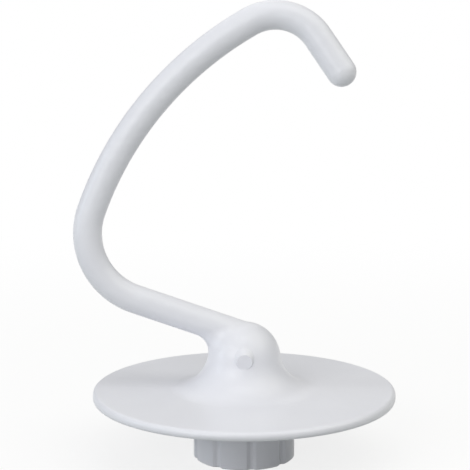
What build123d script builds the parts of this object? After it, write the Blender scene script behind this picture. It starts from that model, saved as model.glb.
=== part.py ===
# Dough hook for a small stand mixer: one coated die casting with a bayonet socket, a shield disc and a C-shaped hook.
# Millimetres. The origin is on the shaft axis at the collar's end face, +Z runs up the axis, and the arm lies in XZ.
import os
from math import cos, radians, sin, sqrt, tan

from build123d import *

# Shield disc: the die opens along Y, so both faces fall away from a ridge over X
disc_d = 114.6
disc_t = 4.4  # over the ridge
disc_z = 26.8  # height of the ridge above the collar's end
draft = 0.55  # degrees
rim_r = 1.65
rim_flats = 3  # round each soft edge of the rim, which keeps the facets few

# Domed boss on the disc, with a wide flare at its foot
dome_r = 13.75
dome_lift = 11.4  # from the ridge to the dome's centre
flare_r = 14.5

# Hook: a round bar on a path of tangent lines and arcs
rod_d = 10.8
arm_inset = 0.3  # of the bar's upper line inside the dome
arm_rise = 19.1  # degrees
arm_len = 43.3  # from the shaft axis
bend_r = 26.2
bend_turn = 90.9  # degrees
back_r = 132.4
back_turn = 40.3  # degrees
crown_r = 18.9
crown_turn = 85.4  # degrees
crown_lean = 13.0  # degrees out of the plane, towards the front
nose_len = 15.4  # to the centre of the round nose
arm_fillet = 6.9

# Flat pad for an ejector pin on the front of the boss
pad_d = 5.7
pad_lift = 1.85  # above the dome's centre
pad_proud = 0.6  # of the dome's front
pad_tilt = 6.0  # degrees, with the face looking down
pad_draft = 33.0  # degrees

# Collar with shallow grooves along it
collar_d = 38.5
grooves = 9
groove_r = 1.5
groove_depth = 0.9
groove_turn = 8.0  # degrees from the front to the first one
groove_edge = 0.5
collar_edge = 0.5
root_w = 1.2  # of the cone where it meets the disc

# Blind socket for a half-inch shaft and the cross pin that a bayonet slot hooks over
shaft_d = 12.7
shaft_play = 0.1  # all round
bore_depth = 32.0
bore_lead = 0.8
bore_end = 0.8
pin_d = 4.8
pin_play = 0.3  # all round
pin_reach = 4.0  # beyond the shaft
slot_depth = 18.0
slot_at = 90.0  # degrees round the axis
slot_turn = 50.0  # degrees of level leg

# Disc and boss: one quarter of each is a turned shape leaned by the draft, and the others are mirrored from it
half = disc_d / 2
dome_z = disc_z + dome_lift
middle = Plane.XY.offset(disc_z - disc_t / 2)


def quarter(section, height):
    """A section turned about the axis, leaned about a point on it, and cut at the parting and at mid-thickness."""
    turned = revolve(Plane.XZ * section, Axis.Z)
    turned = Pos(0, 0, height) * Rot(X=draft) * turned
    return split(split(turned, Plane.XZ), middle)


turns = [90 * i / rim_flats for i in range(rim_flats + 1)]
soft = [Vector(half - rim_r, -rim_r) + Vector(rim_r).rotate(Axis.Z, turn) for turn in turns]
rim = Polyline((half, -disc_t), *soft, (0, 0), (0, -disc_t), close=True)
plate = quarter(make_face(rim), disc_z)

lift = dome_lift * cos(radians(draft))
reach = dome_r + flare_r
foot_r = sqrt(reach**2 - (flare_r - lift) ** 2)
touch = Vector(foot_r, flare_r - lift) * (dome_r / reach)
ball = RadiusArc((0, dome_r), touch, dome_r)
flare = RadiusArc(touch, (foot_r, -lift), -flare_r)
below = Polyline((foot_r, -lift), (foot_r, -lift - disc_t), (0, -lift - disc_t), (0, dome_r))
boss = quarter(make_face([ball, flare, below]), dome_z)

front = plate + boss + mirror(plate, middle)
body = front + mirror(front, Plane.XZ)

# Hook: the arm leaves the boss towards -X, its upper line running on into the dome, and the bar curls to a round nose.
# The crown and the nose have a plane of their own, turned about the end of the back so that the nose leans forward.
arm_z = dome_z + (dome_r - arm_inset - rod_d / 2) / cos(radians(arm_rise))
arm = PolarLine((0, arm_z), arm_len, 180 - arm_rise)
bend = JernArc(arm @ 1, arm % 1, bend_r, -bend_turn)
back = JernArc(bend @ 1, bend % 1, back_r, -back_turn)
level = Plane.XZ * Wire([arm, bend, back])
side = Vector(0, -1, 0).rotate(Axis((0, 0, 0), level % 1), -crown_lean)
leaned = Plane(level @ 1, x_dir=level % 1, z_dir=side)
crown = JernArc((0, 0), (1, 0), crown_r, -crown_turn)
nose = Line(crown @ 1, crown @ 1 + crown % 1 * nose_len)
path = Wire(level.edges() + (leaned * Wire([crown, nose])).edges())
bar = sweep(Plane(path @ 0, z_dir=path % 0) * Circle(rod_d / 2), path=path)
bar += Pos(*(path @ 1)) * Sphere(rod_d / 2)
hook = body + bar


def on_dome(edge):
    """An edge where the arm comes out of the dome."""
    spot = edge @ 0.5
    off = abs((spot - Vector(0, 0, dome_z)).length - dome_r)
    return off < dome_r / 200 and abs(spot.Y) > rod_d / 4 and spot.Z > dome_z


hook = fillet(hook.edges().filter_by(on_dome), arm_fillet)

# Pad: a flat-faced cone that stands proud at its top and runs out into the flare below
upward = (Align.CENTER, Align.CENTER, Align.MIN)
inward = (0, cos(radians(pad_tilt)), sin(radians(pad_tilt)))
face = Plane((0, -dome_r - pad_proud, dome_z + pad_lift), z_dir=inward)
pad_h = dome_r / 2
hook += face * Cone(pad_d / 2, pad_d / 2 + pad_h * tan(radians(pad_draft)), pad_h, align=upward)

# Collar: a cylinder with round grooves along it, their edges broken, and a plain conical root under the disc
outer = collar_d / 2
under = disc_z - disc_t
rows = PolarLocations(outer + groove_r - groove_depth, grooves, groove_turn - 90)
grip = Circle(outer) - rows * Circle(groove_r)
grip = chamfer(grip.vertices(), groove_edge)
collar = extrude(grip, under)
collar = chamfer(collar.edges().group_by(Axis.Z)[0], collar_edge)
root = Cone(outer, outer + root_w, root_w, align=upward)
root = Pos(0, 0, under - root_w) * root + Pos(0, 0, under) * Cylinder(outer + root_w, disc_t / 2, align=upward)
hook += collar + root

# Socket: a blind bore with a lead-in, and a slot from its mouth that turns off into a level leg
bore_r = shaft_d / 2 + shaft_play
bore = Cylinder(bore_r, bore_depth, align=upward)
bore = chamfer(bore.edges().group_by(Axis.Z)[-1], bore_end)
lead = Cone(bore_r + bore_lead, bore_r, bore_lead, align=upward)
slot_w = pin_d + 2 * pin_play
slot_r = shaft_d / 2 + pin_reach + pin_play
outward = (Align.MIN, Align.CENTER, Align.MIN)
slot = Rot(Z=slot_at) * Box(slot_r, slot_w, slot_depth, align=outward)
leg = Rot(Z=slot_at) * Cylinder(slot_r, slot_w, arc_size=slot_turn, align=upward)
leg += Rot(Z=slot_at + slot_turn) * Box(slot_r, slot_w, slot_w, align=outward)
bayonet = slot + Pos(0, 0, slot_depth - slot_w) * leg
bayonet &= Cylinder(slot_r, slot_depth, align=upward)
hook -= bore + lead + bayonet

os.makedirs("parts", exist_ok=True)
export_step(hook, "parts/dough_hook.step")
print("volume cm3", round(hook.volume / 1000, 2), "valid", hook.is_valid, "solids", len(hook.solids()), hook.bounding_box())
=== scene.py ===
from math import cos, radians, sin, sqrt

import bpy
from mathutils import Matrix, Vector
from mathutils.geometry import normal


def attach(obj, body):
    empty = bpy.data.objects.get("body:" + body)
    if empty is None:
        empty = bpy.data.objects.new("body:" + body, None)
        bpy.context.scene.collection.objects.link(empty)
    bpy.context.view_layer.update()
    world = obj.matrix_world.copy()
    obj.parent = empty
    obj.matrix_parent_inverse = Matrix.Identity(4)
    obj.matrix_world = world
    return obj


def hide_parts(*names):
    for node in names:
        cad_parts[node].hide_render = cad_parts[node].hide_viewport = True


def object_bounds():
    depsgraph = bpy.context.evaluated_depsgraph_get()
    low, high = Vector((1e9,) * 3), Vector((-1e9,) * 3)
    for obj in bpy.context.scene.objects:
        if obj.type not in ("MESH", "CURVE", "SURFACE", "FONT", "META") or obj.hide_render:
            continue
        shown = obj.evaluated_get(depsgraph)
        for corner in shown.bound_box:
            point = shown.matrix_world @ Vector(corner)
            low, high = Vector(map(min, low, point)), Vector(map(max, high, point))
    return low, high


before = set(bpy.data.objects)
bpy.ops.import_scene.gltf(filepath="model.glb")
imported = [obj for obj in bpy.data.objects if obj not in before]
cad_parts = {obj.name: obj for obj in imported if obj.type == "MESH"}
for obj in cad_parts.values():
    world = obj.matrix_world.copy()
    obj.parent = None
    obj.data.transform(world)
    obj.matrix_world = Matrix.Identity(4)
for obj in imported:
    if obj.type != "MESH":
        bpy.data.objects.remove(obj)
cad_box = [list(corner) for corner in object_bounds()]

# Hook: one aluminium die casting, from the grooved collar over the shield disc and the boss to the nose.
# It is dipped in white nylon powder and baked, so a thick semi-gloss skin rounds off every edge.
# Its shape is the solid's own, merged into one skin with finer facets.
merge_distance = 1e-6
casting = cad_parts["dough_hook"]
hook = bpy.data.objects.new("coated_hook", casting.data.copy())
bpy.context.scene.collection.objects.link(hook)
bpy.ops.object.select_all(action="DESELECT")
hook.select_set(True)
bpy.context.view_layer.objects.active = hook
bpy.ops.object.mode_set(mode="EDIT")
bpy.ops.mesh.select_all(action="SELECT")
bpy.ops.mesh.remove_doubles(threshold=merge_distance, use_sharp_edge_from_normals=True)
bpy.ops.object.mode_set(mode="OBJECT")

# The solid's rim is cut in flats, so its normals become those of the round edges that the coat makes.
# All other normals stay as the solid has them.
disc_radius = cad_box[1][1]
rim_round = 0.00165
over_rim = 0.03  # a height between the rim and the bar
facets = hook.data
corner_points = [loop.vertex_index for loop in facets.loops]
normals = [corner.vector.copy() for corner in facets.corner_normals]
for face in facets.polygons:
    if face.center.xy.length > disc_radius - rim_round and face.center.z < over_rim:
        for corner in face.loop_indices:
            outwards = facets.vertices[corner_points[corner]].co.xy
            lean = (outwards.length - disc_radius + rim_round) / rim_round
            lean = min(max(lean, 0), 1)
            rise = sqrt(1 - lean**2)
            if face.normal.z < 0:
                rise = -rise
            outwards = outwards.normalized() * lean
            normals[corner] = Vector((outwards.x, outwards.y, rise))

# Each facet is then cut in four, so that the bar, the boss and the rim are as round as the casting.
# For that, the normals at both ends of every edge are gathered from the faces beside it.
beside = {}
for face in facets.polygons:
    one, two, three = face.loop_indices
    for corners in ((one, two), (two, three), (three, one)):
        low, high = sorted(corners, key=lambda corner: corner_points[corner])
        edge = (corner_points[low], corner_points[high])
        beside.setdefault(edge, []).append((normals[low], normals[high]))

# The middle of an edge goes to the middle of the cubic curve that these normals ask for. Its ends head along
# the crease at a sharp edge, and elsewhere along the chord as the surface carries it.
sharp = sin(radians(6))
cubic_bow = 1 / 8  # of the chord, for each unit by which the two headings differ
points = [vertex.co.copy() for vertex in facets.vertices]
middles = {}
for edge, slopes in beside.items():
    start, stop = (points[end] for end in edge)
    chord = stop - start
    headings = []
    for first, last in zip(slopes[0], slopes[-1]):
        crease = first.cross(last)
        if crease.length > sharp:
            heading = crease * crease.dot(chord)
        else:
            heading = chord - chord.project(first + last)
        headings.append(heading.normalized())
    bow = (headings[0] - headings[1]) * chord.length * cubic_bow
    middles[edge] = len(points)
    points.append((start + stop) / 2 + bow)

# A facet's corners count as 0 to 2 and the middles of its edges as 3 to 5.
# A sliver that would fold over keeps straight edges.
edges = ((0, 1, 3), (1, 2, 4), (2, 0, 5))
quarters = ((0, 3, 5), (3, 1, 4), (5, 4, 2), (3, 4, 5))
fine_facets = []
fine_normals = []
for face in facets.polygons:
    spots = [corner_points[corner] for corner in face.loop_indices]
    slopes = [normals[corner] for corner in face.loop_indices]
    for one, two, _ in edges:
        spots.append(middles[min(spots[one], spots[two]), max(spots[one], spots[two])])
        slopes.append((slopes[one] + slopes[two]).normalized())
    turns = [normal([points[spots[corner]] for corner in quarter]).dot(face.normal) for quarter in quarters]
    if min(turns) < 0:
        for one, two, middle in edges:
            points[spots[middle]] = (points[spots[one]] + points[spots[two]]) / 2
    for quarter in quarters:
        fine_facets.append([spots[corner] for corner in quarter])
        fine_normals += [slopes[corner] for corner in quarter]
fine_skin = bpy.data.meshes.new("coated_hook")
fine_skin.from_pydata(points, [], fine_facets)
fine_skin.shade_smooth()
fine_skin.normals_split_custom_set(fine_normals)
hook.data = fine_skin


class Tone:
    """A socket of a material's node tree. Sums on it add Math nodes, and node() adds any other node."""

    def __init__(self, tree, socket=None):
        self.tree = tree
        self.socket = socket

    def node(self, kind, settings, sockets, out=0):
        made = self.tree.nodes.new(kind)
        for name, value in settings.items():
            setattr(made, name, value)
        for name, value in sockets.items():
            if isinstance(value, Tone):
                self.tree.links.new(value.socket, made.inputs[name])
            else:
                made.inputs[name].default_value = value
        return Tone(self.tree, made.outputs[out])

    def math(self, operation, first, second=0.0):
        return self.node("ShaderNodeMath", {"operation": operation}, {0: first, 1: second})

    def vector(self, operation, second, out="Vector"):
        return self.node("ShaderNodeVectorMath", {"operation": operation}, {0: self, 1: second}, out)

    def mix(self, below, above):
        """A colour from below at 0 to above at 1."""
        sockets = {"Factor": self, "A": below, "B": above}
        return self.node("ShaderNodeMix", {"data_type": "RGBA"}, sockets, "Result")

    def step(self, low, high):
        """0 below low, 1 above high and a soft rise between them."""
        sockets = {"Value": self, "From Min": low, "From Max": high}
        return self.node("ShaderNodeMapRange", {"interpolation_type": "SMOOTHSTEP"}, sockets)

    def noise(self, grain, detail, seed=0.0):
        """Soft noise from about 0 to 1 over a place, its lumps a grain apart in metres."""
        moved = self.vector("ADD", (seed, seed, seed))
        return self.node("ShaderNodeTexNoise", {}, {"Vector": moved, "Scale": 1 / grain, "Detail": detail})

    def __abs__(self):
        return self.math("ABSOLUTE", self)

    def __add__(self, other):
        return self.math("ADD", self, other)

    def __radd__(self, other):
        return self.math("ADD", other, self)

    def __sub__(self, other):
        return self.math("SUBTRACT", self, other)

    def __rsub__(self, other):
        return self.math("SUBTRACT", other, self)

    def __mul__(self, other):
        return self.math("MULTIPLY", self, other)

    def __rmul__(self, other):
        return self.math("MULTIPLY", other, self)


# Coat: baked nylon is never quite level. A fine orange peel lies on longer lumps, which are higher on the
# boss and the bar than on the disc, and the tone and the gloss drift a little from place to place.
coat_dark = (0.757, 0.763, 0.815, 1)
coat_light = (0.793, 0.799, 0.845, 1)
coat_roughness = 0.28
roughness_drift = 0.05
lump_height = 6e-5
bar_lump_height = 1e-4  # more than on the disc
disc_level = 0.028
boss_level = 0.042
peel_height = 1.4e-5
white_coat = bpy.data.materials.new("white_coat")
white_coat.use_nodes = True
coat_tree = white_coat.node_tree
skin = coat_tree.nodes["Principled BSDF"]
place = Tone(coat_tree).node("ShaderNodeTexCoord", {}, {}, "Object")
back = place.vector("DOT_PRODUCT", (0, 1, 0), "Value")
up = place.vector("DOT_PRODUCT", (0, 0, 1), "Value")
peel = place.noise(grain=0.001, detail=1.0)
lumps = place.noise(grain=0.0034, detail=0.5, seed=0.31)
drift = place.noise(grain=0.02, detail=1.0, seed=0.74)
uneven = lumps * (lump_height + up.step(disc_level, boss_level) * bar_lump_height) + peel * peel_height
coat_tone = drift.mix(coat_dark, coat_light)
coat_rough = coat_roughness + drift * roughness_drift

# Seam: the two halves of the die meet along the middle of the rim, the boss and the bar, and the coat rises
# a little over the line that they leave. From the start of the crown it leans forward with the nose.
seam_height = 6e-6
seam_flat = 0.0001
seam_foot = 0.0006
crown_start = (0.00185, 0, 0.16433)
crown_heading = Vector((0.8686, 0, 0.4955))
crown_lean = radians(13)
crown_side = (-crown_heading.z * sin(crown_lean), -cos(crown_lean), crown_heading.x * sin(crown_lean))
crown_soft = 1e-5
from_crown = place.vector("SUBTRACT", crown_start)
past_crown = from_crown.vector("DOT_PRODUCT", crown_heading, "Value").step(0, crown_soft)
beside_crown = from_crown.vector("DOT_PRODUCT", crown_side, "Value")
off_seam = abs(beside_crown * past_crown + back * (1 - past_crown))
coat_height = uneven + (1 - off_seam.step(seam_flat, seam_foot)) * seam_height

# Socket: the bore and its slot are machined after the coating, so bare metal with fine turning marks
# shows there. The coat ends sharply at its mouth.
metal_tone = (0.6, 0.6, 0.61, 1)
metal_roughness = 0.3
ring_roughness = 0.15
ring_height = 1e-5
slot_reach = 0.0107
slot_soft = 0.0001
mouth_low = 2e-5
mouth_high = 1e-4
bore_end = 0.0335
bore_soft = 0.001
from_axis = place.vector("MULTIPLY", (1, 1, 0)).vector("LENGTH", (0, 0, 0), "Value")
inside = 1 - from_axis.step(slot_reach, slot_reach + slot_soft)
bare = inside * up.step(mouth_low, mouth_high) * (1 - up.step(bore_end, bore_end + bore_soft))
rings = place.vector("MULTIPLY", (0, 0, 1)).noise(grain=0.0004, detail=2.0)
tone = bare.mix(coat_tone, metal_tone)
rough = coat_rough * (1 - bare) + (metal_roughness + rings * ring_roughness) * bare
relief = coat_height * (1 - bare) + rings * bare * ring_height
level = relief.node("ShaderNodeBump", {}, {"Strength": 1.0, "Distance": 1.0, "Height": relief}, "Normal")
coat_tree.links.new(tone.socket, skin.inputs["Base Color"])
coat_tree.links.new(rough.socket, skin.inputs["Roughness"])
coat_tree.links.new(bare.socket, skin.inputs["Metallic"])
coat_tree.links.new(level.socket, skin.inputs["Normal"])
hook.data.materials.append(white_coat)
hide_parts("dough_hook")
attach(hook, "root")

# Floor: a plain sheet of white card under the hook, cut round and level with the collar's end face.
# It shows as white, with the hook's shadow on it, and throws back no more light than grey card would.
card_radius = 30.0
card_white = (0.95, 0.95, 0.95, 1)
card_bounce = (0.415, 0.435, 0.425, 1)
shadow_inner = 0.08
shadow_outer = 0.5
glow_near = 0.8  # share of plain white close to the hook
bpy.ops.object.select_all(action="DESELECT")
bpy.ops.mesh.primitive_circle_add(vertices=96, radius=card_radius, fill_type="NGON", location=(0, 0, 0))
floor = bpy.context.object
floor.name = "white_card"
card = bpy.data.materials.new("white_card")
card.use_nodes = True
card_tree = card.node_tree
card_tree.nodes.remove(card_tree.nodes["Principled BSDF"])
camera_ray = Tone(card_tree).node("ShaderNodeLightPath", {}, {}, "Is Camera Ray")
glossy_ray = Tone(card_tree, camera_ray.socket.node.outputs["Is Glossy Ray"])
through_ray = Tone(card_tree, camera_ray.socket.node.outputs["Is Transmission Ray"])
on_card = camera_ray.node("ShaderNodeTexCoord", {}, {}, "Object")
clear = on_card.vector("LENGTH", (0, 0, 0), "Value").step(shadow_inner, shadow_outer)
seen = camera_ray.math("MINIMUM", camera_ray + glossy_ray + through_ray, 1.0)
glow = seen * (glow_near + clear * (1 - glow_near))
paper = camera_ray.mix(card_bounce, card_white)
dull = paper.node("ShaderNodeBsdfDiffuse", {}, {"Color": paper})
bright = paper.node("ShaderNodeEmission", {}, {"Color": (1, 1, 1, 1), "Strength": 1.0})
surface = glow.node("ShaderNodeMixShader", {}, {0: glow, 1: dull, 2: bright})
card_tree.links.new(surface.socket, card_tree.nodes["Material Output"].inputs["Surface"])
floor.data.materials.append(card)

# Studio light: soft square boxes that face the hook, the main ones low at the front left and high on the
# right, in a room that is faintly and evenly lit. Each has its bearing in degrees clockwise from the back,
# its height in degrees above the floor, its width, its power and its tint.
room_light = 0.32
room = bpy.data.worlds.new("room")
bpy.context.scene.world = room
room.use_nodes = True
room.node_tree.nodes["Background"].inputs["Color"].default_value = (1, 1, 1, 1)
room.node_tree.nodes["Background"].inputs["Strength"].default_value = room_light
boxes = [
    ("box_front_left", 212, 20, 0.8, 4.5, (1.0, 1.0, 1.0)),
    ("box_left_high", 228, 34, 0.8, 1.2, (1.0, 1.0, 1.0)),
    ("box_left", 261, 12, 0.6, 1.9, (0.9, 1.0, 1.1)),
    ("box_right", 100, 52, 1.3, 4.8, (1.04, 1.04, 0.93)),
    ("box_front_right", 150, 52, 1.3, 2.6, (1.0, 1.0, 1.0)),
    ("box_top", 200, 72, 0.6, 1.45, (1.0, 1.0, 1.0)),
    ("box_back_left", 330, 55, 0.8, 1.2, (1.0, 1.0, 1.0)),
    ("box_back", 0, 35, 0.8, 0.95, (1.0, 1.0, 1.0)),
]
lit_point = Vector((0, 0, 0.08))
box_distance = 1.2
for name, bearing, height, width, power, tint in boxes:
    lamp = bpy.data.lights.new(name, "AREA")
    lamp.size = width
    lamp.energy = power
    lamp.color = tint
    box = bpy.data.objects.new(name, lamp)
    bpy.context.scene.collection.objects.link(box)
    turn = radians(bearing)
    lift = radians(height)
    towards = Vector((cos(lift) * sin(turn), cos(lift) * cos(turn), sin(lift)))
    box.location = lit_point + box_distance * towards
    box.rotation_euler = towards.to_track_quat("Z", "Y").to_euler()

# Camera: a long lens in front of the hook, a little above its crown and looking slightly down,
# so that the disc shows as a flat oval.
look_down = 9.92  # degrees
lens = bpy.data.cameras.new("camera")
lens.lens = 117.482
camera = bpy.data.objects.new("camera", lens)
camera.location = (-0.003471, -0.564313, 0.184072)
camera.rotation_euler = (radians(90 - look_down), 0, 0)
bpy.context.scene.collection.objects.link(camera)
bpy.context.scene.camera = camera
bpy.context.scene.view_settings.view_transform = "Standard"
